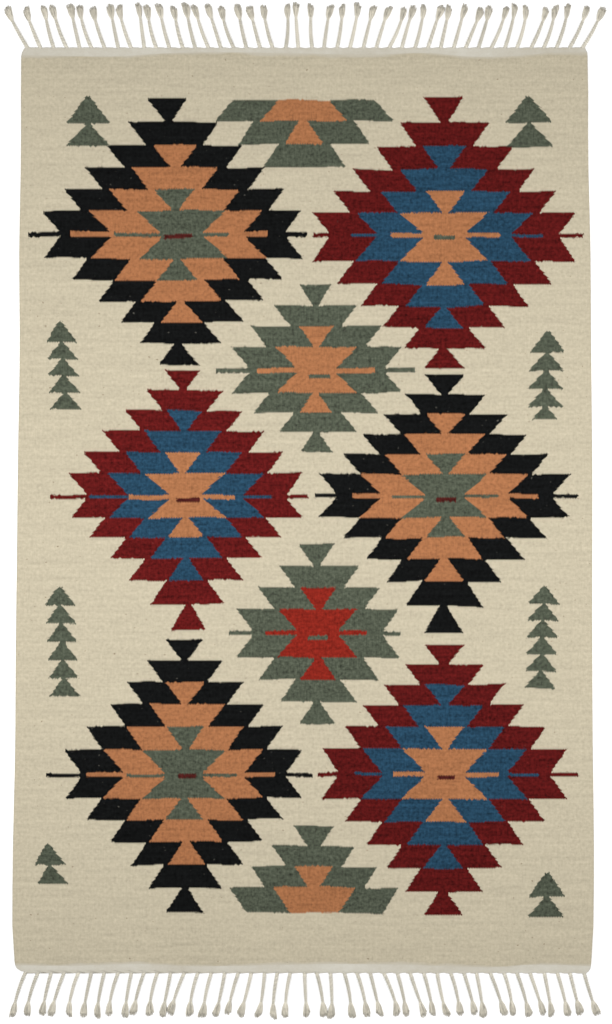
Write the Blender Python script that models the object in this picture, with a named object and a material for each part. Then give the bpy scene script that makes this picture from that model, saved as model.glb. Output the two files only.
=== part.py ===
"""A flat-woven kilim rug lying on a floor: a wool field, and a cotton web with a fringe at each end.

Metres, +Z up. +X runs east across the rug, +Y north along it, and the floor is z = 0.
"""

import math
import random
from types import SimpleNamespace

import bmesh
import bpy
from mathutils import Vector

MM = 0.001

# The cloth
HALF_LENGTH = 0.806
FIELD_THICK = 0.004
FIELD_EDGE_ROUND = 0.0012
WEB_THICK = 0.0026
SEAM_GAP = 0.0003
OUTLINE_STEP = 0.030

# The two long edges: how far each lies from the middle line, in mm, at places along the rug
SELVEDGES = (
    # north, west, east
    (806, 486, 488),
    (802, 489, 491),
    (796, 492, 494),
    (778, 493, 495),
    (620, 493, 495),
    (450, 496, 499),
    (280, 495, 500),
    (100, 498, 502),
    (-85, 500, 502),
    (-245, 502, 502),
    (-415, 503, 503),
    (-590, 507, 505),
    (-730, 508, 504),
    (-772, 507, 502),
    (-792, 503, 500),
    (-801, 499, 498),
    (-806, 493, 494),
)

# The cotton webs: how deep each is, in mm, at places across the rug
NORTH_WEB = (
    # east, depth
    (-500, 13),
    (-400, 15),
    (-320, 15),
    (-250, 10),
    (-150, 8),
    (0, 10),
    (120, 12),
    (220, 9),
    (280, 15),
    (370, 15),
    (430, 9),
    (500, 8),
)
SOUTH_WEB = (
    (-510, 14),
    (-400, 13),
    (-290, 16),
    (-180, 12),
    (-60, 14),
    (60, 16),
    (200, 14),
    (330, 10),
    (400, 15),
    (510, 12),
)

# The fringe: twisted warp ends, each one loose in a tuft at its tip. A spread is the most either way.
TASSEL_LENGTH = 0.078
LENGTH_SPREAD = 0.035
ROOT_WIDTH = 0.0078
ROOT_SPREAD = 0.0012
SCALLOP_DEPTH = 0.0014
LEAN_SPREAD = math.radians(3.5)
PAIR_LEAN = math.radians(4.5)
BOW = 0.0012
BOW_SPREAD = 0.0022
TUFT_WIDTH = 0.0138
TUFT_PLACE = 0.89
TUFT_GAP = 0.0006
TURN = math.radians(0.25)

# A tassel's four-sided sections from its root to its loose tip. Each is TOP_SHARE as wide on top as below.
TOP_SHARE = 0.72
TASSEL_SECTIONS = (
    # share of the length, width in mm, height in mm
    (0.08, 5.8, 4.6),
    (0.24, 5.4, 4.6),
    (0.42, 5.2, 4.4),
    (0.57, 4.6, 4.2),
    (0.66, 4.0, 4.0),
    (0.76, 8.6, 4.8),
    (TUFT_PLACE, TUFT_WIDTH / MM, 4.4),
    (1.00, 9.0, 2.4),
)


# The two ends. pairs has each tassel whose tuft lies beside the next one's, counted from the west.
NORTH = SimpleNamespace(
    name="fringe_north",
    facing=1,
    web=NORTH_WEB,
    tassels=44,
    first=-0.482,
    last=0.485,
    side_lean=math.radians(15),
    corner_lean=math.radians(13),
    pairs=(2, 7, 9, 20, 28, 31, 34, 36, 39),
    seed=11,
)
SOUTH = SimpleNamespace(
    name="fringe_south",
    facing=-1,
    web=SOUTH_WEB,
    tassels=43,
    first=-0.487,
    last=0.487,
    side_lean=math.radians(13),
    corner_lean=math.radians(6),
    pairs=(2, 8, 11, 22, 27, 29, 33, 35, 38),
    seed=23,
)


def through(rows, column, at):
    """A column's value at a place, on a smooth curve through a table. Its first column is the place."""
    rows = sorted(rows)
    at = min(max(at, rows[0][0]), rows[-1][0])
    i = max(k for k in range(len(rows) - 1) if rows[k][0] <= at)
    before, start, end, after = (rows[min(max(i + k, 0), len(rows) - 1)] for k in (-1, 0, 1, 2))
    span = end[0] - start[0]
    t = (at - start[0]) / span
    slope_in = (end[column] - before[column]) / (end[0] - before[0]) * span
    slope_out = (after[column] - start[column]) / (after[0] - start[0]) * span
    return (
        start[column] * (1 + 2 * t) * (1 - t) ** 2
        + slope_in * t * (1 - t) ** 2
        + end[column] * t * t * (3 - 2 * t)
        + slope_out * t * t * (t - 1)
    )


def selvedge(y, side):
    """Where a long edge lies at a place along the rug. side is -1 for the west edge, 1 for the east one."""
    return side * through(SELVEDGES, 1 if side < 0 else 2, y / MM) * MM


def web_depth(end, x):
    return through(end.web, 1, x / MM) * MM


def steps(start, end, size):
    """Evenly spaced places from start to end, both included, at most size apart."""
    count = max(1, math.ceil(abs(end - start) / size))
    return [start + (end - start) * i / count for i in range(count + 1)]


def seam(end, offset):
    """The wavy line between the field and an end's web, from west to east, moved outwards by offset."""
    def at(x):
        return end.facing * (HALF_LENGTH - web_depth(end, x) + offset)

    west, east = (selvedge(at(side * HALF_LENGTH), side) for side in (-1, 1))
    return [(x, at(x)) for x in steps(west, east, OUTLINE_STEP)]


def long_edge(side, south, north):
    """A selvedge's points between two places along the rug, from south to north, both left out."""
    return [(selvedge(y, side), y) for y in steps(south, north, OUTLINE_STEP)[1:-1]]


def corner(end, side, seam_y):
    """The rounded corner of a web beside its outermost tassel, from the seam to the outer edge."""
    rows = [row[0] * MM for row in SELVEDGES]
    past = [y for y in rows if y * end.facing > seam_y * end.facing and abs(y) < HALF_LENGTH]
    return [(selvedge(y, side), y) for y in sorted(past, key=abs)]


def tassels(end):
    """Each tassel from west to east: its root's x, its length, its lean from straight out and its bow."""
    chance = random.Random(end.seed)
    made = []
    for i in range(end.tassels):
        t = i / (end.tassels - 1)
        across = 2 * t - 1
        lean = end.side_lean * math.tanh(7 * across) + end.corner_lean * across ** 15
        lean += chance.uniform(-1, 1) * LEAN_SPREAD
        lean += PAIR_LEAN * ((i in end.pairs) - (i - 1 in end.pairs))
        tassel = SimpleNamespace(
            x=end.first + (end.last - end.first) * t + chance.uniform(-1, 1) * ROOT_SPREAD,
            length=TASSEL_LENGTH * (1 + chance.uniform(-1, 1) * LENGTH_SPREAD),
            lean=lean,
            bow=math.copysign(BOW, lean) + chance.uniform(-1, 1) * BOW_SPREAD,
        )
        if made:
            keep_apart(end, made[-1], tassel)
        made.append(tassel)
    return made


def keep_apart(end, west, east):
    """Turns the eastern one of two tassels away, as far as its tuft needs to clear the other."""
    def gap():
        between = tassel_point(end, east, TUFT_PLACE).x - tassel_point(end, west, TUFT_PLACE).x
        return between * math.cos(max(abs(west.lean), abs(east.lean))) - TUFT_WIDTH

    while gap() < TUFT_GAP:
        east.lean += TURN


def tassel_point(end, tassel, share):
    """A point on a tassel's middle line, at a share of its length."""
    side = math.sin(tassel.lean) * tassel.length * share + tassel.bow * math.sin(math.pi * share)
    out = math.cos(tassel.lean) * tassel.length * share
    return Vector((tassel.x + side, end.facing * (HALF_LENGTH + out), 0))


def closed_body(name, build, material):
    """One object from a bmesh that build fills in."""
    bm = bmesh.new()
    build(bm)
    bmesh.ops.recalc_face_normals(bm, faces=bm.faces)
    mesh = bpy.data.meshes.new(name)
    bm.to_mesh(mesh)
    bm.free()
    mesh.materials.append(material)
    body = bpy.data.objects.new(name, mesh)
    bpy.context.scene.collection.objects.link(body)
    return body


def ring(bm, points, z):
    return [bm.verts.new((x, y, z)) for x, y in points]


def walls(bm, low, high, skip=()):
    """Upright faces between two rings, but for the sides whose first corner is in skip."""
    count = len(low)
    for i in range(count):
        if i not in skip:
            j = (i + 1) % count
            bm.faces.new((low[i], low[j], high[j], high[i]))


def drawn_in(points, by):
    """A ring moved inwards by a distance at every corner. It runs anticlockwise."""
    moved = []
    for i, point in enumerate(points):
        along = Vector(points[(i + 1) % len(points)]) - Vector(points[i - 1])
        inward = Vector((-along.y, along.x)).normalized()
        moved.append(tuple(Vector(point) + inward * by))
    return moved


def field_outline():
    south = seam(SOUTH, -SEAM_GAP / 2)
    north = seam(NORTH, -SEAM_GAP / 2)
    east = long_edge(1, south[-1][1], north[-1][1])
    west = long_edge(-1, south[0][1], north[0][1])
    return south + east + north[::-1] + west[::-1]


def build_field(bm):
    """The woven field: a flat slab whose upper edge is rounded off."""
    outline = field_outline()
    base = ring(bm, outline, 0)
    side = ring(bm, outline, FIELD_THICK - FIELD_EDGE_ROUND)
    top = ring(bm, drawn_in(outline, FIELD_EDGE_ROUND), FIELD_THICK)
    walls(bm, base, side)
    walls(bm, side, top)
    bm.faces.new(base[::-1])
    bm.faces.new(top)


def web_outline(end, rows):
    """A web's outline, first from west to east along the seam, and which of its sides tassels grow from."""
    inner = seam(end, SEAM_GAP / 2)
    points = inner + corner(end, 1, inner[-1][1])
    roots = []
    edge = end.facing * HALF_LENGTH
    dip = edge - end.facing * SCALLOP_DEPTH
    for i in reversed(range(len(rows))):
        x = rows[i].x
        roots.append(len(points))
        points += [(x + ROOT_WIDTH / 2, edge), (x - ROOT_WIDTH / 2, edge)]
        if i:
            points.append(((x + rows[i - 1].x) / 2, dip))
    points += corner(end, -1, inner[0][1])[::-1]
    return points, roots


def eastward(end, tassel, share):
    """The direction square to a tassel at a share of its length, level and towards the east."""
    small = 0.02
    ahead = tassel_point(end, tassel, share + small) - tassel_point(end, tassel, share - small)
    return Vector((ahead.y, -ahead.x, 0)).normalized() * end.facing


def build_tassel(bm, end, tassel, root):
    """Sections from the root's four corners, low east, low west, high west and high east, to the tip."""
    last = root
    for share, width, height in TASSEL_SECTIONS:
        middle = tassel_point(end, tassel, share)
        across = eastward(end, tassel, share) * width * MM / 2
        up = Vector((0, 0, height * MM))
        corners = (
            middle + across,
            middle - across,
            middle - across * TOP_SHARE + up,
            middle + across * TOP_SHARE + up,
        )
        section = [bm.verts.new(c) for c in corners]
        walls(bm, last, section)
        last = section
    bm.faces.new(last)


def build_fringe(bm, end):
    """The cotton web with its tassels grown out of its outer edge."""
    rows = tassels(end)
    outline, roots = web_outline(end, rows)
    low = ring(bm, outline, 0)
    high = ring(bm, outline, WEB_THICK)
    walls(bm, low, high, skip=set(roots))
    bm.faces.new(low[::-1])
    bm.faces.new(high)
    for first, tassel in zip(roots, reversed(rows)):
        root = (low[first], low[first + 1], high[first + 1], high[first])
        build_tassel(bm, end, tassel, root)


def yarn(name, colour, roughness):
    material = bpy.data.materials.new(name)
    material.use_nodes = True
    shader = material.node_tree.nodes["Principled BSDF"]
    shader.inputs["Base Color"].default_value = (*colour, 1)
    shader.inputs["Roughness"].default_value = roughness
    material.diffuse_color = (*colour, 1)
    return material


def centre(bodies):
    """Moves the whole rug so that its footprint's middle is at the origin."""
    spots = [v.co for body in bodies for v in body.data.vertices]
    middle = [(min(c[k] for c in spots) + max(c[k] for c in spots)) / 2 for k in (0, 1)]
    for body in bodies:
        for vertex in body.data.vertices:
            vertex.co.x -= middle[0]
            vertex.co.y -= middle[1]


def main():
    for old in list(bpy.data.objects):
        bpy.data.objects.remove(old)
    wool = yarn("undyed_wool", (0.60, 0.52, 0.38), 0.95)
    cotton = yarn("cotton", (0.58, 0.54, 0.45), 0.95)
    bodies = [closed_body("kilim_field", build_field, wool)]
    for end in (NORTH, SOUTH):
        bodies.append(closed_body(end.name, lambda bm: build_fringe(bm, end), cotton))
    centre(bodies)


main()
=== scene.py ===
"""The looks of a flat-woven kilim rug: its dyed wool, its cotton webs and its twisted tassels.

Metres, unless a name or a comment says mm. +X runs east across the rug, +Y north along it, and the
floor is z = 0. The outlines and the tassels' lines are read from the rug's own solids.
"""

import math
import random
from collections import namedtuple
from types import SimpleNamespace

import bpy
import numpy as np
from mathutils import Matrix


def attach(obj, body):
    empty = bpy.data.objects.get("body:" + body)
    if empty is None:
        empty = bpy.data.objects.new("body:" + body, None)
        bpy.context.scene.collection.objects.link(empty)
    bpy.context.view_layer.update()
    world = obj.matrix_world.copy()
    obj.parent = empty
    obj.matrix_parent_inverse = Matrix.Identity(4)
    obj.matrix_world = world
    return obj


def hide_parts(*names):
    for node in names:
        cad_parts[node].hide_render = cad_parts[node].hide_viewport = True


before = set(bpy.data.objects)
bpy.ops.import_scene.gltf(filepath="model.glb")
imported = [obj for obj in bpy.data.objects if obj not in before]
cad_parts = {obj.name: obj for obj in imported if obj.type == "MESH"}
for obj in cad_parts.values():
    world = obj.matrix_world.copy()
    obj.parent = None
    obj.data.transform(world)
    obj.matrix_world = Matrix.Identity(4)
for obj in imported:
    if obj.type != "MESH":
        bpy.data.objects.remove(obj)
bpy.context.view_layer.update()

MM = 0.001

# The weave
WARPS = 460
POINTS_A_WARP = 3
WARP_PITCH_MM = 2.17
PICK_PITCH_MM = 1.7
TURN_PITCH_MM = 3.4
FIELD_THICK = 0.0040
FIELD_END_THICK = 0.0028
END_TAPER = 0.007
END_ROWS = (0, 0.08, 0.3, 0.6, 1)
RIB_RELIEF = 0.00025
SELVEDGE_ROUND = 0.0015
FIELD_ROWS = 24

# The cotton webs. Each one reaches in under the field's end.
WEB_THICK = 0.0026
WEB_RELIEF = 0.00025
WEB_ROUND = 0.0010
WEB_UNDER_FIELD = 0.003
WEB_ROWS = (0, 0.25, 0.5, 0.75, 0.95, 1)

# The cloths' edges shade as sharp where their faces meet at more than this, in degrees
SHARP_ANGLE = 60

# Distances from the rug's middle and the floor that part the points of one outline from another's
BASE_Z = 0.00001
LONG_EDGE_X = 0.475
SEAM_Y = 0.78
WEB_MIDDLE_Y = 0.8005
WEB_EDGE_Y = 0.8035
TASSELS_Y = 0.8075

# A tassel's solid is a row of sections. A curve of this degree runs through their middles.
CORNERS_A_SECTION = 4
LINE_DEGREE = 3

# The tassels' cords: two plies twisted together, resting on the floor
CORD_START = -0.0015
CORD_END_SHARE = 0.70
CORD_DIAMETERS = (
    # share of the tassel's length, diameter in mm
    (-0.05, 7.2),
    (0.08, 6.9),
    (0.24, 6.5),
    (0.42, 6.1),
    (0.57, 5.5),
    (0.66, 4.7),
    (0.70, 3.8),
)
PLY_SHARE = 0.28
PLY_SIDES = 6
TWIST_PITCH = 0.0078
RINGS_A_TURN = 9
ROOT_FLATNESS = 0.36
ROOT_FLAT_LENGTH = 0.006

# The tassels' tufts: loose strands that fan out from the cord's end
TUFT_STRANDS = 46
TUFT_START_SHARE = 0.64
STRAND_POINTS = 6
STRAND_SIDES = 3
STRAND_RADIUS = (0.00045, 0.00075)
TUFT_WIDTHS = (
    # share of the tassel's length, half width and height in mm
    (0.64, 1.3, 3.0),
    (0.68, 2.4, 3.1),
    (0.76, 4.4, 3.1),
    (0.89, 6.4, 2.4),
    (1.03, 7.0, 1.2),
)
TUFT_SPREAD = (0.78, 1.04)
TUFT_END_SHARE = 0.965
TUFT_ROUNDING = 0.05
TUFT_RAGGED = 0.045
TUFT_SLANT = 0.05
TUFT_SKEW = 0.3
STRAND_BEND = 0.0009
STRAND_HALF_WAVES = 1.5
STRAND_TAPER = 0.75
# How dark each ply and each loose strand is, from 0 for the lighter colour to 1 for the darker. The
# loose strands' range reaches lighter than the cords': painted light against the shade that falls among
# the strands.
CORD_SHADE = (0.25, 0.62)
STRAND_SHADE = (-0.5, 0.6)

# The pattern, in mm. The border that each nested yarn leaves is this much wider than two steps, and in
# the widest row it differs by its bite. A thin neck joins a nested yarn's rows.
NEST_SHRINK = 1
NEST_BITE = 6
NECK_HALF = 5
# How far the rows are out of line, and how much their widths differ, by chance
ROW_SHIFT = 4
ROW_SPREAD = 2
# The reach of a diamond's bars, from the outer one inwards, by how many there are
BAR_REACHES = {2: (1, 0.59), 3: (1, 0.71, 0.41)}
INNER_BAR_HEIGHTS = {"orange": 1, "green": 0.7, "blue": 0.65, "scarlet": 0.95}
# The outer bars are beaded, and the necks between the beads have this share of their height
BEAD_PITCH = 6.5
BEAD_NECK = 0.84
CENTRE_BAR_HALF_HEIGHT = 3.7
TREE_APEX = 3

# A diamond is built of rows above and below its middle, where a strip of bars crosses it. half and tip
# are half the widths of its widest and its last row, and bar is half the height of a bar. Each row
# widens by its bite on each side. The diamond's sides swell or draw in between the widest row and the
# tip, and its rows may crowd to the middle. With lean and bow it is a little askew, and with skew its
# nested yarns are. The centre bar lies below the middle by its drop.
Rows = namedtuple("Rows", "height swell crowd")
CentreBar = namedtuple("CentreBar", "yarn east half drop")
Diamond = namedtuple(
    "Diamond", "east north half tip bite rows up down lean bow skew bar west_bar east_bar yarns centre"
)
DIAMONDS = (
    Diamond(
        east=-229, north=481, half=226, tip=36, bite=29, rows=6,
        up=Rows(38.7, 6, 0.07), down=Rows(37.2, -7, 0), lean=-0.045, bow=9, skew=8,
        bar=4.7, west_bar=251, east_bar=233,
        yarns=("black", "orange", "green"), centre=CentreBar("brown", 8, 24, 3),
    ),
    Diamond(
        east=243, north=479, half=229, tip=35, bite=29, rows=6,
        up=Rows(39.5, 7, 0.12), down=Rows(38.0, -4, -0.10), lean=0, bow=0, skew=0,
        bar=3.9, west_bar=228, east_bar=242,
        yarns=("red", "blue", "orange"), centre=CentreBar("green", 1, 19, 3),
    ),
    Diamond(
        east=-208, north=24, half=204, tip=31, bite=29, rows=6,
        up=Rows(36.1, 5, -0.05), down=Rows(38.1, -1, 0.19), lean=-0.018, bow=0, skew=0,
        bar=3.9, west_bar=236, east_bar=213,
        yarns=("madder", "blue", "orange"), centre=CentreBar("brown", 6, 20, 6),
    ),
    Diamond(
        east=243, north=25, half=218, tip=35, bite=29, rows=6,
        up=Rows(34.7, -3, 0), down=Rows(39.1, -6, 0.21), lean=0, bow=1, skew=0,
        bar=3.8, west_bar=226, east_bar=233,
        yarns=("black", "orange", "green"), centre=CentreBar("brown", 3, 17, 7),
    ),
    Diamond(
        east=-210, north=-461, half=208, tip=33, bite=28, rows=6,
        up=Rows(38.8, -4, -0.06), down=Rows(39.2, -4, 0.09), lean=0, bow=3, skew=0,
        bar=3.8, west_bar=240, east_bar=225,
        yarns=("black", "orange", "green"), centre=CentreBar("brown", 6, 15, 2),
    ),
    Diamond(
        east=243, north=-459, half=213, tip=35, bite=28, rows=6,
        up=Rows(36.9, -1, -0.10), down=Rows(40.2, -6, 0.03), lean=0, bow=0, skew=0,
        bar=4.0, west_bar=220, east_bar=233,
        yarns=("red", "blue", "orange"), centre=CentreBar("brown", 3, 15, 6),
    ),
    Diamond(
        east=21, north=244, half=149, tip=28, bite=30, rows=4,
        up=Rows(36.4, 7, 0), down=Rows(34.6, 2, 0), lean=-0.012, bow=0, skew=0,
        bar=4.3, west_bar=176, east_bar=171,
        yarns=("green", "orange"), centre=CentreBar("green", 6, 19, 10),
    ),
    Diamond(
        east=23, north=-213, half=143, tip=32, bite=28, rows=4,
        up=Rows(38.1, 2, 0), down=Rows(39.1, -1, 0), lean=0, bow=2, skew=0,
        bar=3.8, west_bar=156, east_bar=144,
        yarns=("green", "scarlet"), centre=CentreBar("green", 0, 17, 8),
    ),
)

# Half a diamond has a straight side, and rows that narrow by step away from it. nest is how wide a
# border its nested yarn leaves.
HalfDiamond = namedtuple(
    "HalfDiamond", "east north row first half step bite first_bite tip nest rows yarns"
)
HALF_DIAMONDS = tuple(HalfDiamond(*row) for row in (
    # middle east, straight side north, row height with its sign, the first row's share of it,
    # half width, step, bite, the first row's bite, tip, nest, rows, yarns
    (-1, 715, -40.5, 0.9, 156, 42, 27, 32, 26, 80, 3, ("green", "orange")),
    (16, -701, 35.7, 1.27, 147.5, 37.3, 24, 30, 33.5, 76, 4, ("green", "orange")),
))

Tree = namedtuple("Tree", "east top tier first half tiers lean")
TREES = tuple(Tree(*row) for row in (
    # middle east, top north, height of a tier, the first tier's share of it, half width, tiers, lean
    (-378, 721, 38.9, 1.23, 39, 2, 0),
    (390, 721, 43.0, 1.07, 42, 2, -0.07),
    (-421, 328, 28.9, 1.23, 28, 5, -0.08),
    (-423, -133, 31.4, 1.04, 27, 6, -0.045),
    (-443, -579, 33.3, 1.10, 27, 2, -0.13),
    (421, 311, 31.4, 1.15, 32, 4.7, 0.04),
    (414, -132, 29.4, 1.07, 28.5, 6, 0.05),
    (421, -632, 35.0, 1.19, 32, 2, 0.03),
))

DARK_FLECK = (0.13, 0.085, 0.045)
LIGHT_FLECK = (0.30, 0.28, 0.24)
Yarn = namedtuple("Yarn", "name colour streaks grain flecks fleck_colour")
YARNS = tuple(Yarn(*row) for row in (
    # name, shares of red, green and blue light that it returns, strengths of its streaks, grain and
    # flecks, the flecks' colour
    ("cream", (0.441, 0.392, 0.288), 0.29, 0.47, 0.8, DARK_FLECK),
    ("black", (0.0042, 0.0046, 0.0046), 1.2, 2.2, 0.3, LIGHT_FLECK),
    ("orange", (0.312, 0.128, 0.0545), 0.40, 1.0, 0.2, DARK_FLECK),
    ("green", (0.0650, 0.0750, 0.0525), 0.6, 1.9, 0.15, LIGHT_FLECK),
    ("red", (0.0800, 0.0060, 0.0057), 1.0, 1.9, 0.05, LIGHT_FLECK),
    ("blue", (0.0147, 0.0468, 0.0825), 1.0, 1.7, 0.05, LIGHT_FLECK),
    ("scarlet", (0.192, 0.0148, 0.0086), 0.6, 1.5, 0.0, DARK_FLECK),
    ("madder", (0.090, 0.0067, 0.0064), 1.0, 1.9, 0.05, LIGHT_FLECK),
    ("brown", (0.057, 0.0100, 0.0085), 1.0, 1.9, 0.05, LIGHT_FLECK),
))

# Noises over a surface: their waves in a metre along x, y and z, their strength, how many finer layers
# they have, and how strong each layer is
Noise = namedtuple("Noise", "waves strength detail roughness", defaults=(1, 2.0, 0.5))

# How far the weaving strays from its chart, in mm
STRAY_EAST = (Noise((4, 7, 1), 12), Noise((40, 250, 1), 5, 1.0))
STRAY_NORTH = (Noise((9, 4, 1), 11), Noise((180, 20, 1), 2.3, 1.0))

# The dyed wool's streaks along the weft, its mottling, its fibres and the ribs' threads, and what they
# do to its tone and its height
WOOL_STREAK = Noise((8, 130, 1), 1, 3.0, 0.6)
WOOL_MOTTLE = Noise((60, 80, 1), 1, 2.0, 0.6)
WOOL_FIBRE = Noise((180, 190, 1), 1, 2.0, 0.6)
WOOL_THREAD = Noise((430, 40, 1), 0.3, 1.0)
MOTTLE_TONE = 0.3
MOTTLE_HEIGHT = 0.5
FIBRE_HEIGHT = 0.8
WOOL_BUMP = 0.00035

# Flecks of stray fibre lie where a noise is highest
FLECK_NOISE = Noise((150, 170, 1), 1, 1.0)
FLECK_LEVEL = 0.225
FLECK_EDGE = 9

# Where the cotton shows through at the field's ends
SEAM_BLEND = 0.005
SEAM_NOISES = (Noise((30, 60, 1), 1.5), Noise((9, 20, 1), 3))
BARE_COTTON = (0.49, 0.455, 0.375)
BARE_SHARE = 0.9

# The colours grow darker towards the south end, the dyed yarns' more than the cream's
SOUTH_SHADE_FROM = -0.2
SOUTH_SHADE_OVER = -0.5
SOUTH_SHADE = 0.01
SOUTH_SHADE_DYED = 0.05

# The webs' cotton, between two colours
WEB_COLOURS = ((0.43, 0.395, 0.32), (0.55, 0.53, 0.465))
WEB_FIBRE = Noise((300, 300, 1), 1, 2.0, 0.6)
WEB_NOISES = (Noise((60, 90, 1), 0.8, 3.0, 0.6), Noise((6, 5, 1), 1.4, 1.0))
WEB_FIBRE_TONE = 0.5
WEB_PICK_HEIGHT = 0.6
WEB_FIBRE_HEIGHT = 0.6
WEB_BUMP = 0.0004

# The tassels' cotton, between two colours
TASSEL_COLOURS = ((0.72, 0.68, 0.58), (0.38, 0.36, 0.30))
TASSEL_FIBRE = Noise((500, 500, 500), 1, 2.0, 0.6)
TASSEL_MOTTLE = Noise((60, 60, 60), 0.6, 2.0, 0.6)
TASSEL_FIBRE_TONE = 0.5
TASSEL_BUMP = 0.0003

# All of the cloth is matt
MATT_SPECULAR = 0.05
SHEEN_ROUGHNESS = 0.5

# The studio
FLOOR_SIZE = 30
FLOOR_DROP = 0.0002
FLOOR_COLOUR = (0.97, 0.97, 0.97)
FLOOR_GLOW = 0.1
SKY_STRENGTH = 0.50
LAMP_AWAY = 0.95
LAMP_HEIGHT = 1.6
LAMP_SIZE = 0.7
LAMP_POWER = 21.5
LAMP_BALANCE = 0.03

# The camera, and how much of the floor the picture's longer side takes in
CAMERA_PLACE = (0.0025, -0.0026, 8)
CAMERA_VIEW = 1.784
CAMERA_SENSOR = 36
CAMERA_CLIP = 100


def corners(node):
    """A solid's corners in metres, each of them once, and its faces as lists of corner numbers."""
    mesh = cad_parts[node].data
    spots = np.array([vertex.co for vertex in mesh.vertices])
    merged, number = np.unique(np.round(spots, 6), axis=0, return_inverse=True)
    number = number.ravel()
    return merged, [[number[v] for v in face.vertices] for face in mesh.polygons]


def in_order(spots, axis):
    """The places of some points along an axis, rising, and their places along the other one."""
    ranked = spots[np.argsort(spots[:, axis])]
    return ranked[:, axis], ranked[:, 1 - axis]


def long_edges(spots):
    """The west and east edges of a flat solid: for each, y places and the x of the edge there."""
    base = spots[np.abs(spots[:, 2]) < BASE_Z]
    west = base[base[:, 0] < -LONG_EDGE_X]
    east = base[base[:, 0] > LONG_EDGE_X]
    return in_order(west, 1), in_order(east, 1)


def line_across(spots, low, high):
    """The points of a flat solid's base between two distances from the rug's middle, by their x."""
    away = np.abs(spots[:, 1])
    chosen = (np.abs(spots[:, 2]) < BASE_Z) & (away > low) & (away < high)
    return in_order(spots[chosen], 0)


def joined_groups(faces, kept):
    """Groups of kept corners that faces join."""
    parent = list(range(len(kept)))

    def root(i):
        while parent[i] != i:
            i = parent[i]
        return i

    for face in faces:
        if all(kept[i] for i in face):
            for other in face[1:]:
                parent[root(other)] = root(face[0])
    groups = {}
    for i in np.flatnonzero(kept):
        groups.setdefault(root(i), []).append(i)
    return list(groups.values())


def read_tassels(node, facing):
    """Each tassel's middle line, from west to east, as x in terms of the distance out from the web."""
    spots, faces = corners(node)
    edge = line_across(spots, WEB_EDGE_Y, TASSELS_Y)[1]
    edge_y = facing * np.abs(edge).max()
    found = []
    for group in joined_groups(faces, np.abs(spots[:, 1]) > TASSELS_Y):
        points = spots[group]
        points = points[np.argsort(np.abs(points[:, 1]))][:, :2]
        two_sections = 2 * CORNERS_A_SECTION
        direction = points[-two_sections:].mean(axis=0) - points[:two_sections].mean(axis=0)
        points = points[np.argsort(points @ direction)]
        middles = points.reshape(-1, CORNERS_A_SECTION, 2).mean(axis=1)
        out = facing * (middles[:, 1] - edge_y)
        line = np.polynomial.Polynomial.fit(out, middles[:, 0], LINE_DEGREE)
        found.append(SimpleNamespace(line=line, reach=out[-1], edge=edge_y, facing=facing))
    return sorted(found, key=lambda tassel: tassel.line(0))


def tassel_points(tassel, share):
    """Points on a tassel's middle line on the floor, and the level direction square to it at each."""
    out = tassel.reach * share
    points = np.stack((tassel.line(out), tassel.edge + tassel.facing * out, 0 * out), axis=1)
    slope = tassel.line.deriv()(out)
    across = np.stack((np.ones_like(out), -tassel.facing * slope, 0 * out), axis=1)
    return points, across / np.linalg.norm(across, axis=1, keepdims=True)


def smooth(share):
    """A share eased at both ends, and kept from 0 to 1."""
    share = np.clip(share, 0, 1)
    return share * share * (3 - 2 * share)


def new_object(name, spots, faces, material):
    """A smooth-shaded mesh object that rides on the rug's body."""
    mesh = bpy.data.meshes.new(name)
    mesh.from_pydata(spots.tolist(), [], faces)
    mesh.shade_smooth()
    mesh.materials.append(material)
    made = bpy.data.objects.new(name, mesh)
    bpy.context.scene.collection.objects.link(made)
    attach(made, "root")
    return made


def set_attribute(made, name, values):
    layer = made.data.attributes.new(name, "FLOAT", "POINT")
    layer.data.foreach_set("value", np.asarray(values, np.float32).ravel())


def slab(name, x, y, low, high, warp, material):
    """A closed thin cloth from grids of points, a row for each place along it and a column across.

    low and high are its two faces' heights. They meet in the first and the last column.
    """
    rows, columns = x.shape
    top = np.stack((x, y, high), axis=-1)
    under = np.stack((x, y, low), axis=-1)[:, -2:0:-1]
    spots = np.concatenate((top, under), axis=1)
    count = spots.shape[1]
    faces = []
    for r in range(rows - 1):
        for c in range(count):
            after = (c + 1) % count
            start = r * count
            faces.append((start + c, start + after, start + count + after, start + count + c))
    for row, order in ((0, 1), (rows - 1, -1)):
        start = row * count
        for c in range(columns - 1):
            face = [start + -c % count, start + (-c - 1) % count, start + c + 1, start + c]
            faces.append(tuple(dict.fromkeys(face[::order])))
    made = new_object(name, spots.reshape(-1, 3), faces, material)
    made.data.set_sharp_from_angle(angle=math.radians(SHARP_ANGLE))
    warps = np.concatenate((warp, warp[-2:0:-1]))
    set_attribute(made, "warp", np.tile(warps, rows))
    return made


def warp_columns():
    """The columns' places in warps, and at each how deep the groove beside a warp is, from 0 to 1."""
    warp = np.linspace(0, WARPS, WARPS * POINTS_A_WARP + 1)
    return warp, 0.5 + 0.5 * np.cos(2 * math.pi * warp)


def rounded_sides(x, rounding):
    """A share of the full thickness for each point: 0 on the long edges, 1 further in than rounding."""
    inset = np.minimum(x - x[:, :1], x[:, -1:] - x)
    near = np.clip(1 - inset / rounding, 0, 1)
    return np.sqrt(1 - near ** 2)


def lay_columns(warp, y_of, edges):
    """x and y grids whose columns are spread evenly between the two long edges at each y."""
    share = warp / WARPS
    (west_y, west_x), (east_y, east_x) = edges
    first = west_x.mean() + (east_x.mean() - west_x.mean()) * share
    y = y_of(first)
    west = np.interp(y, west_y, west_x)
    east = np.interp(y, east_y, east_x)
    return west + (east - west) * share, y


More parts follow.
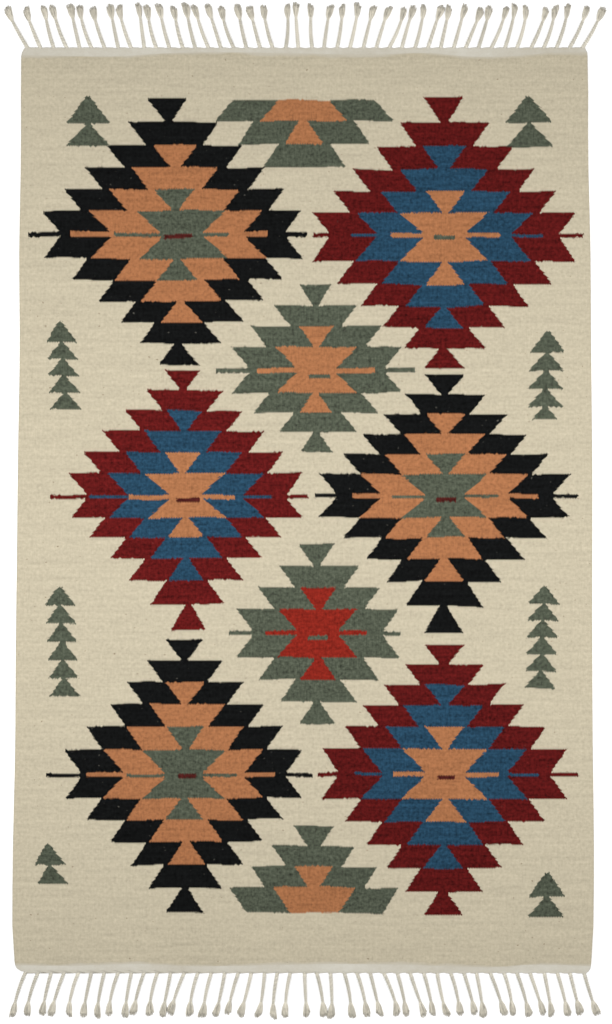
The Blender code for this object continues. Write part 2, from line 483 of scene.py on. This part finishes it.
def make_field(material):
    """The wool cloth: ribbed along the warps on both faces, and thinner where it meets the webs."""
    spots, _ = corners("kilim_field")
    edges = long_edges(spots)
    seam_x, seam_y = line_across(spots, SEAM_Y, 1)
    north, south = seam_y > 0, seam_y < 0
    length = seam_y[north].mean() - seam_y[south].mean()
    near_ends = np.array(END_ROWS) * END_TAPER / length
    along = np.concatenate((near_ends, np.linspace(0, 1, FIELD_ROWS)[1:-1], 1 - near_ends[::-1]))
    along = along[:, None]

    def y_of(x):
        low = np.interp(x, seam_x[south], seam_y[south])
        high = np.interp(x, seam_x[north], seam_y[north])
        return low + (high - low) * along

    warp, groove = warp_columns()
    x, y = lay_columns(warp, y_of, edges)
    from_end = np.minimum(along, 1 - along) * length
    thick = FIELD_END_THICK + (FIELD_THICK - FIELD_END_THICK) * smooth(from_end / END_TAPER)
    fade = rounded_sides(x, SELVEDGE_ROUND)
    half = thick / 2 * fade

    # The underside's grooves are half as deep
    high = thick / 2 + half - RIB_RELIEF * groove * fade
    low = thick / 2 - half + RIB_RELIEF / 2 * groove * fade
    made = slab("wool_field", x, y, low, high, warp, material)
    points_a_row = len(made.data.vertices) // from_end.size
    set_attribute(made, "from_end", np.repeat(from_end, points_a_row))
    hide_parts("kilim_field")
    return made


def make_web(name, node, facing, material):
    """A plain-woven cotton web: from under the field's end to the scalloped edge that bears tassels.

    Its long edges run on in line with the field's.
    """
    spots, _ = corners(node)
    field, _ = corners("kilim_field")
    base = spots[(np.abs(spots[:, 1]) < TASSELS_Y) & (np.abs(spots[:, 2]) < BASE_Z)]
    beside = (base[:, 0] < -LONG_EDGE_X, base[:, 0] > LONG_EDGE_X)
    edges = []
    for (field_y, field_x), near in zip(long_edges(field), beside):
        field_edge = np.stack((field_x, field_y), axis=1)
        points = np.concatenate((field_edge, outermost(base[near][:, :2])))
        edges.append(in_order(points, 1))
    seam_x, seam_y = line_across(spots, SEAM_Y, WEB_MIDDLE_Y)
    outer_x, outer_y = line_across(spots, WEB_EDGE_Y, TASSELS_Y)
    share = np.array(WEB_ROWS)[:, None]

    def y_of(x):
        inner = np.interp(x, seam_x, seam_y) - facing * WEB_UNDER_FIELD
        outer = np.interp(x, outer_x, outer_y)
        return (inner + (outer - inner) * share)[::facing]

    warp, groove = warp_columns()
    x, y = lay_columns(warp, y_of, edges)
    fade = rounded_sides(x, WEB_ROUND)
    middle = WEB_THICK / 2
    high = middle + (middle - WEB_RELIEF * groove) * fade
    low = middle - (middle - WEB_RELIEF / 2 * groove) * fade
    made = slab(name, x, y, low, high, warp, material)
    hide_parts(node)
    return made


def outermost(points):
    """Of some points near a long edge, the furthest out at each tenth of a millimetre along it."""
    best = {}
    for x, y in points:
        tenth = round(y, 4)
        if tenth not in best or abs(x) > abs(best[tenth][0]):
            best[tenth] = (x, y)
    return np.array(list(best.values()))


class Bundle:
    """Many small tubes gathered into one mesh, each with a shade of its own."""

    def __init__(self):
        self.spots = []
        self.faces = []
        self.shades = []
        self.count = 0

    def add(self, rings, shade):
        """A closed tube from an array of rings of corners."""
        rows, sides, _ = rings.shape
        for r in range(rows - 1):
            start = self.count + r * sides
            for c in range(sides):
                after = (c + 1) % sides
                self.faces.append((start + c, start + after, start + sides + after, start + sides + c))
        last = self.count + (rows - 1) * sides
        self.faces.append(tuple(range(self.count + sides - 1, self.count - 1, -1)))
        self.faces.append(tuple(range(last, last + sides)))
        self.spots.append(rings.reshape(-1, 3))
        self.shades.append(np.full(rows * sides, shade))
        self.count += rows * sides

    def finish(self, name, material):
        made = new_object(name, np.concatenate(self.spots), self.faces, material)
        set_attribute(made, "shade", np.concatenate(self.shades))
        return made


def tube(line, outward, radius, sides):
    """Rings of corners round a line. Each ring's first corner lies outward from its point."""
    along = np.gradient(line, axis=0)
    along /= np.linalg.norm(along, axis=1, keepdims=True)
    outward = outward - along * np.sum(along * outward, axis=1, keepdims=True)
    outward /= np.linalg.norm(outward, axis=1, keepdims=True)
    across = np.cross(along, outward)
    turn = (np.arange(sides) * 2 * math.pi / sides)[None, :, None]
    spoke = np.cos(turn) * outward[:, None] + np.sin(turn) * across[:, None]
    return line[:, None] + np.asarray(radius)[:, None, None] * spoke


def column(table, number, share):
    """A column of a table in mm, in metres, at shares that its first column gives."""
    rows = np.array(table)
    return np.interp(share, rows[:, 0], rows[:, number]) * MM


def add_cord(bundle, tassel, chance):
    """Two plies twisted round a tassel's line, pressed flat where they come out of the web."""
    start = CORD_START / tassel.reach
    turns = (CORD_END_SHARE - start) * tassel.reach / TWIST_PITCH
    share = np.linspace(start, CORD_END_SHARE, int(turns * RINGS_A_TURN))
    middle, across = tassel_points(tassel, share)
    diameter = column(CORD_DIAMETERS, 1, share)
    middle[:, 2] = diameter / 2
    first_turn = chance.uniform(0, 2 * math.pi)
    pressed = ROOT_FLATNESS + (1 - ROOT_FLATNESS) * smooth(share * tassel.reach / ROOT_FLAT_LENGTH)
    for ply in range(2):
        turn = first_turn + 2 * math.pi * share * tassel.reach / TWIST_PITCH + math.pi * ply
        outward = across * np.cos(turn)[:, None] + np.array((0, 0, 1)) * np.sin(turn)[:, None]
        line = middle + outward * (diameter * (0.5 - PLY_SHARE))[:, None]
        rings = tube(line, outward, diameter * PLY_SHARE, PLY_SIDES)
        rings[..., 2] *= pressed[:, None]
        bundle.add(rings, chance.uniform(*CORD_SHADE))


def add_tuft(bundle, tassel, fullness, chance):
    """Loose strands that fan out from a cord's end and lie down to the floor, with a ragged tip."""
    spread = fullness * chance.uniform(*TUFT_SPREAD)
    slant = chance.uniform(-1, 1) * TUFT_SLANT
    skew = chance.uniform(-1, 1) * TUFT_SKEW
    for i in range(TUFT_STRANDS):
        place = (2 * i + 1) / TUFT_STRANDS - 1
        level = chance.random()
        end = TUFT_END_SHARE - TUFT_ROUNDING * place ** 2 + slant * place
        end += chance.uniform(-1, 1) * TUFT_RAGGED
        share = np.linspace(TUFT_START_SHARE, end, STRAND_POINTS)
        line, across = tassel_points(tassel, share)
        grown = (share - TUFT_START_SHARE) / (1 - TUFT_START_SHARE)
        side = (place + skew * grown) * spread * column(TUFT_WIDTHS, 1, share)
        side += chance.uniform(-1, 1) * STRAND_BEND * np.sin(math.pi * STRAND_HALF_WAVES * grown)
        radius = chance.uniform(*STRAND_RADIUS)
        line += across * side[:, None]
        line[:, 2] = radius + level * column(TUFT_WIDTHS, 2, share)
        up = np.tile((0.0, 0.0, 1.0), (STRAND_POINTS, 1))
        taper = np.linspace(1, STRAND_TAPER, STRAND_POINTS)
        # Each strand's shade comes from a range lighter than the cords': painted light against the shade
        # among the strands
        bundle.add(tube(line, up, radius * taper, STRAND_SIDES), chance.uniform(*STRAND_SHADE))


def make_tassels(name, node, facing, fullness, seed, material):
    """All the tassels of one end, as one piece."""
    chance = random.Random(seed)
    bundle = Bundle()
    for tassel in read_tassels(node, facing):
        add_cord(bundle, tassel, chance)
        add_tuft(bundle, tassel, fullness, chance)
    made = bundle.finish(name, material)
    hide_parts(node)
    return made


class Amount:
    """A number that varies over a surface. Arithmetic with it adds Math nodes to its material."""

    def __init__(self, socket):
        self.socket = socket

    def __add__(self, other):
        return worked("ADD", self, other)

    def __radd__(self, other):
        return worked("ADD", other, self)

    def __sub__(self, other):
        return worked("SUBTRACT", self, other)

    def __rsub__(self, other):
        return worked("SUBTRACT", other, self)

    def __mul__(self, other):
        return worked("MULTIPLY", self, other)

    def __rmul__(self, other):
        return worked("MULTIPLY", other, self)

    def __truediv__(self, other):
        return worked("DIVIDE", self, other)

    def __gt__(self, other):
        return worked("GREATER_THAN", self, other)

    def __lt__(self, other):
        return worked("LESS_THAN", self, other)


def worked(operation, *values):
    """The result of a Math node. At least one of its values is an Amount."""
    tree = next(value.socket.id_data for value in values if isinstance(value, Amount))
    node = tree.nodes.new("ShaderNodeMath")
    node.operation = operation
    for socket, value in zip(node.inputs, values):
        if isinstance(value, Amount):
            tree.links.new(value.socket, socket)
        else:
            socket.default_value = value
    return Amount(node.outputs[0])


def clipped(amount):
    """An amount kept from 0 to 1."""
    return worked("MINIMUM", worked("MAXIMUM", amount, 0), 1)


def new_material(name, roughness, sheen):
    """A material with a rough, matt shader, and its tree and shader."""
    material = bpy.data.materials.new(name)
    material.use_nodes = True
    shader = material.node_tree.nodes["Principled BSDF"]
    shader.inputs["Roughness"].default_value = roughness
    shader.inputs["Specular IOR Level"].default_value = MATT_SPECULAR
    shader.inputs["Sheen Weight"].default_value = sheen
    shader.inputs["Sheen Roughness"].default_value = SHEEN_ROUGHNESS
    return material, material.node_tree, shader


def place_on(tree):
    """The Texture Coordinate node's place on the rug, in metres."""
    return tree.nodes.new("ShaderNodeTexCoord").outputs["Object"]


def axes(place):
    """How far east and north a place is."""
    tree = place.id_data
    node = tree.nodes.new("ShaderNodeSeparateXYZ")
    tree.links.new(place, node.inputs[0])
    return Amount(node.outputs["X"]), Amount(node.outputs["Y"])


def attribute(tree, name):
    """A number that the mesh holds for each of its points."""
    node = tree.nodes.new("ShaderNodeAttribute")
    node.attribute_name = name
    return Amount(node.outputs["Fac"])


def parity_of(warp):
    """0 on every other warp and 1 on those between."""
    return worked("MODULO", worked("FLOOR", warp), 2)


def noise(place, kind):
    """Soft noise on both sides of 0, at the most half its strength away."""
    tree = place.id_data
    stretched = tree.nodes.new("ShaderNodeVectorMath")
    stretched.operation = "MULTIPLY"
    stretched.inputs[1].default_value = kind.waves
    tree.links.new(place, stretched.inputs[0])
    node = tree.nodes.new("ShaderNodeTexNoise")
    node.inputs["Scale"].default_value = 1
    node.inputs["Detail"].default_value = kind.detail
    node.inputs["Roughness"].default_value = kind.roughness
    tree.links.new(stretched.outputs[0], node.inputs["Vector"])
    return (Amount(node.outputs[0]) - 0.5) * kind.strength


def two_noises(place, kinds):
    first, second = kinds
    return noise(place, first) + noise(place, second)


def constant_ramp(number, colours):
    """The colour that a whole number picks from a list."""
    tree = number.socket.id_data
    node = tree.nodes.new("ShaderNodeValToRGB")
    ramp = node.color_ramp
    ramp.interpolation = "CONSTANT"
    count = len(colours)
    for i, colour in enumerate(colours):
        element = ramp.elements[i] if i < 2 else ramp.elements.new(1)
        element.position = max(0, (i - 0.5) / count)
        element.color = (*colour, 1)
    tree.links.new((number / count).socket, node.inputs["Fac"])
    return node.outputs["Color"]


def tinted(colour, amount):
    """A colour socket made lighter or darker by a varying amount."""
    tree = colour.id_data
    node = tree.nodes.new("ShaderNodeVectorMath")
    node.operation = "SCALE"
    tree.links.new(colour, node.inputs[0])
    tree.links.new(amount.socket, node.inputs["Scale"])
    return node.outputs[0]


def mixed(share, first, second):
    """A mix of two colours, each a socket or three numbers."""
    tree = share.socket.id_data
    node = tree.nodes.new("ShaderNodeMix")
    node.data_type = "RGBA"
    tree.links.new(share.socket, node.inputs["Factor"])
    colour_sockets = [socket for socket in node.inputs if socket.type == "RGBA"]
    for socket, colour in zip(colour_sockets, (first, second)):
        if isinstance(colour, tuple):
            socket.default_value = (*colour, 1)
        else:
            tree.links.new(colour, socket)
    return next(socket for socket in node.outputs if socket.type == "RGBA")


def yarn_number(name):
    return [yarn.name for yarn in YARNS].index(name)


def stacked(inside, yarns):
    """The yarn number for a depth of nesting. Up to 0 lies the ground, and up to 1 the first yarn."""
    total = 0
    before = 0
    for depth, name in enumerate(yarns):
        total = (inside > depth) * (yarn_number(name) - before) + total
        before = yarn_number(name)
    return total


def stepped_rows(climb, row, half, step, bite):
    """Half the width of a stepped diamond at a height in rows: each row widens away from the middle."""
    return climb * bite - row * (step + bite) + (half - bite)


def separated(colour):
    """The red, green and blue parts of a colour socket."""
    tree = colour.id_data
    node = tree.nodes.new("ShaderNodeSeparateColor")
    tree.links.new(colour, node.inputs[0])
    return [Amount(output) for output in node.outputs]


def dice(number):
    """Two chance numbers from -0.5 to 0.5, the same ones wherever the given number is the same."""
    tree = number.socket.id_data
    node = tree.nodes.new("ShaderNodeTexWhiteNoise")
    node.noise_dimensions = "1D"
    tree.links.new(number.socket, node.inputs["W"])
    return [part - 0.5 for part in separated(node.outputs["Color"])[:2]]


def rows_climbed(distance, rows, count):
    """How many rows lie between a diamond's middle strip and a distance from it in mm."""
    share = distance / (rows.height * count)
    return share * (1 - share) * (rows.crowd * count) + share * count


def stretched_first(count, first):
    """A count of rows from a count of even ones, where the first is taller or lower than the rest."""
    return worked("MINIMUM", count / first, 1) + worked("MAXIMUM", count - first, 0)


def nested(half, aside, climb, nest, tip, yarns):
    """How many nested yarns deep a place in a row is. A thin neck joins each yarn's rows."""
    widening = worked("FRACT", climb) * (tip - NECK_HALF) + NECK_HALF

    # The innermost yarn ends two rows up, the one around it four rows up, and so on
    neck = (aside < widening) * (len(yarns) - climb / 2)
    return worked("MAXIMUM", (half - aside) / nest, neck)


def bars_over(east, north, shape):
    """How many nested yarns deep a place on a diamond's middle strip is, by their bars."""
    aside = worked("ABSOLUTE", east)
    away = worked("ABSOLUTE", north)
    reach = (east > 0) * (shape.east_bar - shape.west_bar) + shape.west_bar
    bead = worked("FRACT", east / BEAD_PITCH) < 0.5
    deepest = (aside < reach) * (away < (bead * (1 - BEAD_NECK) + BEAD_NECK) * shape.bar)
    inner = zip(shape.yarns[1:], BAR_REACHES[len(shape.yarns)][1:])
    for depth, (yarn, share) in enumerate(inner, 2):
        covered = (aside < reach * share) * (away < shape.bar * INNER_BAR_HEIGHTS[yarn])
        deepest = worked("MAXIMUM", covered * depth, deepest)
    return deepest


def diamond(x, y, shape):
    """The yarn number of a stepped diamond at a place in mm, and 0 outside it.

    Its rows climb both ways from a thin strip, where each of its nested colours runs out in a bar.
    """
    step = (shape.half - shape.tip) / (shape.rows - 1)
    north = y - shape.north
    upward = rows_climbed(north - shape.bar, shape.up, shape.rows)
    downward = rows_climbed(-shape.bar - north, shape.down, shape.rows)
    climb = worked("MAXIMUM", upward, downward)
    strip = climb < 0
    climb = worked("MAXIMUM", climb, 0)
    row = worked("FLOOR", climb)
    above = north > 0
    shift, spread = dice(row * (above * 2 - 1) + shape.east)

    # 0 at the widest row and at the tip, and 1 halfway
    toward_tip = row / (shape.rows - 1)
    between = worked("MAXIMUM", toward_tip * (1 - toward_tip) * 4, 0)
    swell = (above * (shape.up.swell - shape.down.swell) + shape.down.swell) * between
    half = stepped_rows(climb, row, shape.half, step, shape.bite) + swell + spread * ROW_SPREAD

    # The nested yarns swell less than the outer one. In the widest row they bite deeper, and may sit
    # further east
    east = x - shape.east - north * shape.lean
    skew = ((east < 0) * 2 - 1) * shape.skew
    nest = (climb < 1) * ((0.5 - climb) * NEST_BITE + skew) + swell / 2 + (2 * step + NEST_SHRINK)
    aside = worked("ABSOLUTE", east - between * shape.bow - shift * ROW_SHIFT)
    inside = nested(half, aside, climb, nest, shape.tip, shape.yarns)
    inside = worked("MAXIMUM", inside, bars_over(east, north, shape) * strip)

    centre = shape.centre
    beside = worked("ABSOLUTE", east - centre.east) < centre.half
    centre_bar = beside * (worked("ABSOLUTE", north + centre.drop) < CENTRE_BAR_HALF_HEIGHT)
    under_bar = yarn_number(shape.yarns[-1])
    return stacked(inside, shape.yarns) + centre_bar * (yarn_number(centre.yarn) - under_bar)


def half_diamond(x, y, shape):
    """The yarn number of a stepped diamond that is cut off along its middle."""
    climb = stretched_first((y - shape.north) / shape.row, shape.first)
    aside = worked("ABSOLUTE", x - shape.east)
    half = stepped_rows(climb, worked("FLOOR", climb), shape.half, shape.step, shape.bite)
    half = half + (climb < 1) * (climb - 1) * (shape.first_bite - shape.bite)
    kept = (climb > 0) * (climb < shape.rows)
    inside = nested(half, aside, climb, shape.nest, shape.tip, shape.yarns)
    return stacked(inside, shape.yarns) * kept


def tree_motif(x, y, shape):
    """The yarn number of a little tree: tiers that widen downwards, one below the other."""
    fall = stretched_first((shape.top - y) / shape.tier, shape.first)
    middle = shape.top - shape.tier * shape.tiers / 2
    aside = worked("ABSOLUTE", x - shape.east - (y - middle) * shape.lean)
    width = worked("FRACT", fall) * (shape.half - TREE_APEX) + TREE_APEX
    kept = (fall > 0) * (fall < shape.tiers)
    return (aside < width) * kept * yarn_number("green")


def chart(x, y):
    """Which yarn the weaver used at a place in mm."""
    total = 0
    for shapes, rule in ((DIAMONDS, diamond), (HALF_DIAMONDS, half_diamond), (TREES, tree_motif)):
        for shape in shapes:
            total = worked("MAXIMUM", rule(x, y, shape), total)
    return total


def wool_material():
    """Dyed wool packed over cotton warps, in the rug's pattern."""
    material, tree, shader = new_material("dyed_wool", roughness=0.95, sheen=0.01)
    place = place_on(tree)
    x, y = axes(place)
    warp = attribute(tree, "warp")
    over = worked("FRACT", warp)
    parity = parity_of(warp)

    # Colours change only between warps and after whole turns of the weft, which lie half a turn apart
    # on the next warp
    in_turn = worked("FRACT", y / (TURN_PITCH_MM * MM) + parity / 2)
    chart_x = x / MM + (0.5 - over) * WARP_PITCH_MM + two_noises(place, STRAY_EAST)
    chart_y = y / MM + (0.5 - in_turn) * TURN_PITCH_MM + two_noises(place, STRAY_NORTH)
    number = chart(chart_x, chart_y)
    colour = constant_ramp(number, [yarn.colour for yarn in YARNS])
    fleck_colour = constant_ramp(number, [yarn.fleck_colour for yarn in YARNS])
    traits = constant_ramp(number, [(yarn.streaks, yarn.grain, yarn.flecks) for yarn in YARNS])
    streaks, grain, flecks = separated(traits)

    streak = noise(place, WOOL_STREAK)
    mottle = noise(place, WOOL_MOTTLE)
    fibre = noise(place, WOOL_FIBRE)
    thread = noise(place, WOOL_THREAD)
    southward = clipped((y - SOUTH_SHADE_FROM) / SOUTH_SHADE_OVER)
    dyed = number > 0.5
    shade = southward * (dyed * SOUTH_SHADE_DYED + SOUTH_SHADE)
    tone = streak * streaks + (mottle * MOTTLE_TONE + fibre + thread) * grain + 1 - shade
    flecked = clipped((noise(place, FLECK_NOISE) - FLECK_LEVEL) * FLECK_EDGE) * flecks
    colour = mixed(flecked, tinted(colour, tone), fleck_colour)

    # The cotton shows through where the wool begins
    bare = clipped(1 - attribute(tree, "from_end") / SEAM_BLEND + two_noises(place, SEAM_NOISES))
    tree.links.new(mixed(bare * BARE_SHARE, colour, BARE_COTTON), shader.inputs["Base Color"])

    picks = worked("PINGPONG", y / (PICK_PITCH_MM * MM) + parity / 2, 0.5)
    add_bump(picks + fibre * FIBRE_HEIGHT + mottle * MOTTLE_HEIGHT, shader, WOOL_BUMP)
    return material


def add_bump(height, shader, distance):
    """Gives a shader relief, distance metres deep for a height of 1."""
    tree = height.socket.id_data
    bump = tree.nodes.new("ShaderNodeBump")
    bump.inputs["Strength"].default_value = 1
    bump.inputs["Distance"].default_value = distance
    tree.links.new(height.socket, bump.inputs["Height"])
    tree.links.new(bump.outputs["Normal"], shader.inputs["Normal"])


def web_material():
    """Plain-woven undyed cotton."""
    material, tree, shader = new_material("web_cotton", roughness=0.9, sheen=0.05)
    place = place_on(tree)
    _, y = axes(place)
    parity = parity_of(attribute(tree, "warp"))
    fibre = noise(place, WEB_FIBRE)
    share = two_noises(place, WEB_NOISES) + fibre * WEB_FIBRE_TONE + 0.5
    tree.links.new(mixed(share, *WEB_COLOURS), shader.inputs["Base Color"])
    picks = worked("PINGPONG", y / (PICK_PITCH_MM * MM) + parity / 2, 0.5)
    add_bump(picks * WEB_PICK_HEIGHT + fibre * WEB_FIBRE_HEIGHT, shader, WEB_BUMP)
    return material


def tassel_material():
    """Twisted cotton warp ends. The loose strands are painted lighter than the cords, against the shade
    that falls among them.
    """
    material, tree, shader = new_material("tassel_cotton", roughness=0.9, sheen=0.08)
    place = place_on(tree)
    fibre = noise(place, TASSEL_FIBRE)
    share = attribute(tree, "shade") + fibre * TASSEL_FIBRE_TONE + noise(place, TASSEL_MOTTLE)
    tree.links.new(mixed(share, *TASSEL_COLOURS), shader.inputs["Base Color"])
    add_bump(fibre, shader, TASSEL_BUMP)
    return material


def add_floor():
    """A pale plain floor, a hair below the rug, that glows a little so that it stays even."""
    half = FLOOR_SIZE / 2
    around = ((-1, -1), (1, -1), (1, 1), (-1, 1))
    mesh = bpy.data.meshes.new("floor")
    mesh.from_pydata([(x * half, y * half, -FLOOR_DROP) for x, y in around], [], [(0, 1, 2, 3)])
    floor = bpy.data.objects.new("floor", mesh)
    bpy.context.scene.collection.objects.link(floor)
    material, _, shader = new_material("pale_floor", roughness=1, sheen=0)
    shader.inputs["Base Color"].default_value = (*FLOOR_COLOUR, 1)
    shader.inputs["Emission Color"].default_value = (1, 1, 1, 1)
    shader.inputs["Emission Strength"].default_value = FLOOR_GLOW
    shader.inputs["Specular IOR Level"].default_value = 0
    mesh.materials.append(material)


def add_lamp(name, side, power):
    """A large soft lamp to one side of the rug, aimed at its middle."""
    lamp = bpy.data.lights.new(name, "AREA")
    lamp.shape = "SQUARE"
    lamp.size = LAMP_SIZE
    lamp.energy = power
    made = bpy.data.objects.new(name, lamp)
    made.location = (side * LAMP_AWAY, 0, LAMP_HEIGHT)
    made.rotation_euler = (0, side * math.atan2(LAMP_AWAY, LAMP_HEIGHT), 0)
    bpy.context.scene.collection.objects.link(made)


def add_light():
    """An even white sky and two soft lamps, the western one a little stronger."""
    world = bpy.data.worlds.new("studio")
    world.use_nodes = True
    sky = world.node_tree.nodes["Background"]
    sky.inputs["Color"].default_value = (1, 1, 1, 1)
    sky.inputs["Strength"].default_value = SKY_STRENGTH
    scene = bpy.context.scene
    scene.world = world
    scene.view_settings.view_transform = "Standard"
    add_lamp("lamp_west", -1, LAMP_POWER * (1 + LAMP_BALANCE))
    add_lamp("lamp_east", 1, LAMP_POWER * (1 - LAMP_BALANCE))


def add_camera():
    """Straight above the rug, as in the photograph, with the rug's length along the picture's height."""
    camera = bpy.data.cameras.new("camera")
    camera.sensor_width = CAMERA_SENSOR
    camera.lens = CAMERA_SENSOR * CAMERA_PLACE[2] / CAMERA_VIEW
    camera.clip_end = CAMERA_CLIP
    made = bpy.data.objects.new("camera", camera)
    made.location = CAMERA_PLACE
    bpy.context.scene.collection.objects.link(made)
    bpy.context.scene.camera = made


add_camera()
add_light()
add_floor()
wool = wool_material()
cotton = web_material()
loose_cotton = tassel_material()
wool_field = make_field(wool)
webs = [
    make_web("web_north", "fringe_north", facing=1, material=cotton),
    make_web("web_south", "fringe_south", facing=-1, material=cotton),
]
tassels = [
    make_tassels("tassels_north", "fringe_north", 1, fullness=1.0, seed=5, material=loose_cotton),
    make_tassels("tassels_south", "fringe_south", -1, fullness=1.08, seed=6, material=loose_cotton),
]
